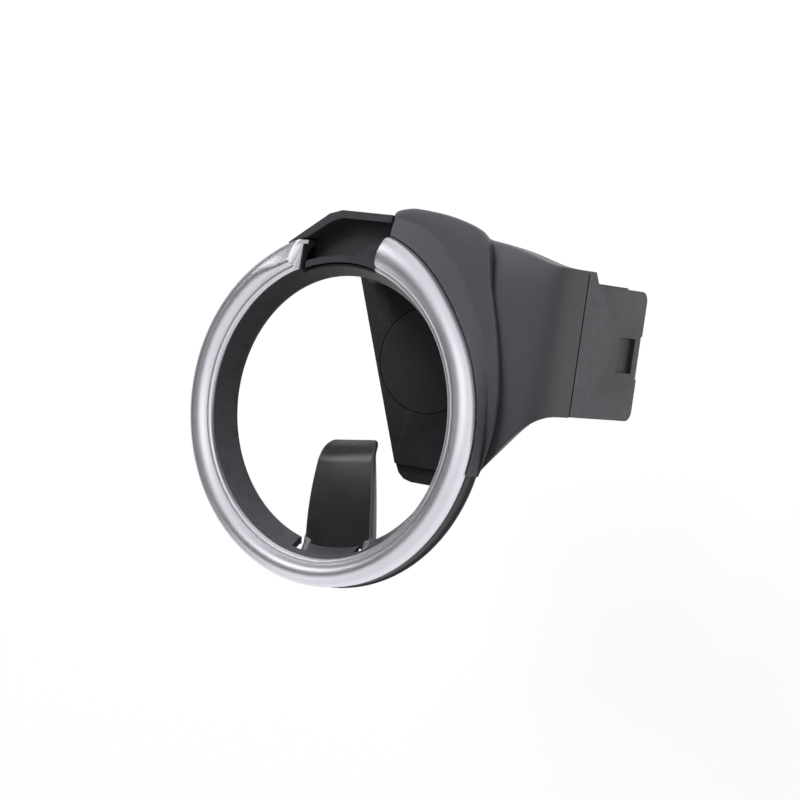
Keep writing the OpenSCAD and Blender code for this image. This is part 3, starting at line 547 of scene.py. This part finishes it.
def fingerSheet():
    # each section across the finger is a closed loop: crowned top, rounded shoulders, two side skirts and
    # a hollow underside; the top's height is sheetZ - bow * (y - rootY)^2, less hook * (y - hookY)^2 where
    # y is past hookY
    f = finger
    along = np.sin(np.linspace(0, np.pi / 2, f["stations"])) ** f["crowd"]
    y = f["rootY"] + (f["tipY"] - f["rootY"]) * along
    share = (y - f["rootY"]) / (f["tipY"] - f["rootY"])
    half = f["rootHalf"] - (f["rootHalf"] - f["tipHalf"]) * share ** 2
    corner = np.clip((y - (f["tipY"] - f["cornerR"])) / f["cornerR"], 0, 1)
    half = half - f["cornerR"] * (1 - np.sqrt(1 - corner ** 2)) * f["cornerDraw"]
    top = f["sheetZ"] - f["bow"] * (y - f["rootY"]) ** 2 - f["hook"] * np.clip(y - f["hookY"], 0, None) ** 2
    deep = f["thick"] + f["skirt"] * np.clip(1 - (share / f["skirtEnd"]) ** 2, 0, 1)
    deep = deep * (1 - f["thin"] * np.clip((share - f["thinFrom"]) / (1 - f["thinFrom"]), 0, 1))
    lift = f["flare"] * np.clip((share - f["flareFrom"]) / (1 - f["flareFrom"]), 0, 1) ** 2
    edge, top, deep, lift = half[:, None], top[:, None], deep[:, None], lift[:, None]
    across = np.sin(np.linspace(-np.pi / 2, np.pi / 2, f["topPoints"]))
    inner = edge - f["shoulder"]
    topX, topZ = across * inner, top - f["crown"] * across ** 2 + np.abs(across) ** 3 * lift
    turn = np.radians(np.linspace(f["shoulderTurn"], 0, f["shoulderPoints"]))
    rightX = inner + f["shoulder"] * np.cos(turn)
    rightZ = topZ[:, -1:] - f["shoulder"] + f["shoulder"] * np.sin(turn)
    base, wallX, heel, toe = top - deep, edge - f["skirtWall"], f["heel"], f["toe"]
    footX = np.concatenate([edge - 0.05, edge - toe, wallX + heel, wallX], axis=1)
    footZ = np.concatenate([base + toe, base, base, base + heel], axis=1)
    under = np.maximum(top - f["thick"] + 0.25, base + heel)
    hollowX = np.concatenate([wallX - heel, 0 * edge, -(wallX - heel)], axis=1)
    hollowZ = np.concatenate([under, under, under], axis=1)
    loopX = np.concatenate([topX, rightX, footX, hollowX, -footX[:, ::-1], -rightX[:, ::-1]], axis=1)
    loopZ = np.concatenate([topZ, rightZ, footZ, hollowZ, footZ[:, ::-1], rightZ[:, ::-1]], axis=1)
    return np.stack([loopX, np.broadcast_to(y[:, None], loopX.shape), loopZ], axis=-1)


def legSurface(side):
    # a flat arm: the outline of hub and arm in the y-z plane, carried across its width with softened rims
    f = finger
    turn = np.radians(np.linspace(*f["hubTurn"]))
    hub = np.stack([f["hubR"] * np.cos(turn), f["hubR"] * np.sin(turn)], axis=1)
    outline = np.concatenate([hub, f["arm"]])
    core = outline.mean(axis=0)
    grid = core + (outline - core) * np.array(f["legSize"])[:, None, None]
    x = side * (f["legX"] + f["legW"] * np.array(f["legSteps"]))
    return np.concatenate([np.broadcast_to(x[:, None, None], grid.shape[:2] + (1,)), grid], axis=-1)


print("stage: finger")
fingerGrids = [(fingerSheet(), False), (legSurface(1), False), (legSurface(-1), True)]
fingerPoints, fingerFaces = closedGrids(fingerGrids)
fingerPoints = toFrame(hingeFrame(fingerPoints))
fingerPiece = makePiece("fingerLever", fingerPoints, fingerFaces, fingerPlastic, "finger")
addModifier(fingerPiece, "corners", "EDGE_SPLIT", split_angle=radians(55))
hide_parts("finger")

# stage
print("stage: floor, light and camera")
stageLook = dict(floorDrop=0.05, floorHalf=3.0, floorGrey=0.9, shadow=0.07, fill=0.14)
# lamps: azimuth, elevation, distance, size in m, watts; cards: the same with half sizes and a level
lamps = dict(left=(165, 45, 0.9, 0.5, 0.8), rear=(112, 33, 0.9, 0.4, 16.0), right=(4, 14, 0.9, 0.4, 2.6))
cards = dict(overhead=(184, 62, 1.2, (0.55, 0.42), 0.03), strip=(179, 12, 1.25, (0.52, 1.05), 0.02),
             hook=(146, 43, 1.15, (0.16, 0.2), 3.6), back=(125, 20, 1.2, (0.22, 0.24), 0.06),
             boxRight=(25, 52, 1.4, (0.6, 0.5), 1.35), boxLeft=(222, 32, 1.4, (0.4, 0.35), 1.15))
# the camera stands 0.65 m from the origin; rows of turn are the frame's axes in camera axes (right, up, back)
view = dict(sensor=36.0, lens=112.5, place=[0.33831, 0.01320, 0.55619],
            turn=[[0.79774, -0.14295, 0.58581], [0.14028, 0.98883, 0.05027], [-0.58646, 0.04207, 0.80889]])


def seenDirectly(tree):
    # 1 where the camera, a mirror ray or a ray through glass looks, else 0
    path = tree.nodes.new("ShaderNodeLightPath")
    seen = mathNode(tree, "MAXIMUM", path.outputs["Is Camera Ray"], path.outputs["Is Glossy Ray"])
    return mathNode(tree, "MAXIMUM", seen, path.outputs["Is Transmission Ray"])


def glowNode(tree, level):
    glow = tree.nodes.new("ShaderNodeEmission")
    glow.inputs["Color"].default_value = (1, 1, 1, 1)
    glow.inputs["Strength"].default_value = level
    return glow.outputs[0]


def endTree(tree, kind, surface):
    tree.links.new(surface, tree.nodes.new(kind).inputs["Surface"])


def whiteToCamera(name):
    # plain white where it is seen directly, less the share of diffuse white that carries the shadow
    material, tree = newMaterial(name)
    tree.nodes.clear()
    matte = tree.nodes.new("ShaderNodeBsdfDiffuse")
    matte.inputs["Color"].default_value = (*[stageLook["floorGrey"]] * 3, 1)
    mix = tree.nodes.new("ShaderNodeMixShader")
    tree.links.new(mathNode(tree, "MULTIPLY", seenDirectly(tree), 1.0 - stageLook["shadow"]), mix.inputs[0])
    tree.links.new(matte.outputs[0], mix.inputs[1])
    tree.links.new(glowNode(tree, 1.0), mix.inputs[2])
    endTree(tree, "ShaderNodeOutputMaterial", mix.outputs[0])
    return material


def plane(name, centre, half, material, facing=None):
    # a flat rectangle of the given half sizes, facing up or towards a point
    centre = np.asarray(centre, float)
    axis = np.array([0, 0, 1.0]) if facing is None else np.asarray(facing, float) - centre
    axis = axis / np.linalg.norm(axis)
    side = np.cross([0, 1.0, 0.0] if abs(axis[1]) < 0.9 else [1.0, 0, 0], axis)
    side = side / np.linalg.norm(side)
    up = np.cross(axis, side)
    signs = ((-1, -1), (1, -1), (1, 1), (-1, 1))
    corners = [centre + half[0] * a * side + half[1] * b * up for a, b in signs]
    mesh = bpy.data.meshes.new(name)
    mesh.from_pydata([tuple(c) for c in corners], [], [(0, 1, 2, 3)])
    mesh.materials.append(material)
    sheet = bpy.data.objects.new(name, mesh)
    scene.collection.objects.link(sheet)
    return sheet


low, high = np.array(cadBox[0]), np.array(cadBox[1])
middle = (low + high) / 2


def towards(azimuth, elevation, distance):
    # the point at that bearing and height angle, seen from the middle of the object
    a, e = radians(azimuth), radians(elevation)
    return np.array([np.cos(e) * np.cos(a), np.cos(e) * np.sin(a), np.sin(e)]) * distance + middle


def softLamp(name, place, size, watts):
    # a round soft lamp for the matte surfaces; the cards give the gloss instead
    data = bpy.data.lights.new(name, "AREA")
    data.shape = "DISK"
    data.size = size
    data.energy = watts
    lamp = bpy.data.objects.new(name, data)
    lamp.location = place
    lamp.rotation_euler = Vector(middle - place).to_track_quat("-Z", "Y").to_euler()
    scene.collection.objects.link(lamp)
    lamp.visible_glossy = False


def card(name, place, half, level):
    # a studio card of even brightness that only reflections meet
    material, tree = newMaterial(name)
    tree.nodes.clear()
    endTree(tree, "ShaderNodeOutputMaterial", glowNode(tree, level))
    sheet = plane(name, place, half, material, middle)
    sheet.visible_camera = sheet.visible_diffuse = sheet.visible_shadow = sheet.visible_transmission = False


floorHalf = stageLook["floorHalf"]
plane("floor", (middle[0], middle[1], low[2] - stageLook["floorDrop"]), (floorHalf, floorHalf),
      whiteToCamera("floorWhite"))

world = bpy.data.worlds.new("studio")
scene.world = world
world.use_nodes = True
skyTree = world.node_tree
skyTree.nodes.clear()
sky = skyTree.nodes.new("ShaderNodeBackground")
skyLevel = mapRange(skyTree, seenDirectly(skyTree), 0.0, 1.0, stageLook["fill"], 1.0)
skyTree.links.new(skyLevel, sky.inputs["Strength"])
endTree(skyTree, "ShaderNodeOutputWorld", sky.outputs[0])

for lampName, (azimuth, elevation, distance, size, watts) in lamps.items():
    softLamp(lampName + "Lamp", towards(azimuth, elevation, distance), size, watts)
for cardName, (azimuth, elevation, distance, half, level) in cards.items():
    card(cardName + "Card", towards(azimuth, elevation, distance), half, level)

cameraData = bpy.data.cameras.new("camera")
cameraData.sensor_width = view["sensor"]
cameraData.lens = view["lens"]
camera = bpy.data.objects.new("camera", cameraData)
scene.collection.objects.link(camera)
pose = np.eye(4)
pose[:3, :3] = view["turn"]
pose[:3, 3] = view["place"]
camera.matrix_world = Matrix(pose.tolist())
scene.camera = camera
scene.view_settings.view_transform = "Standard"
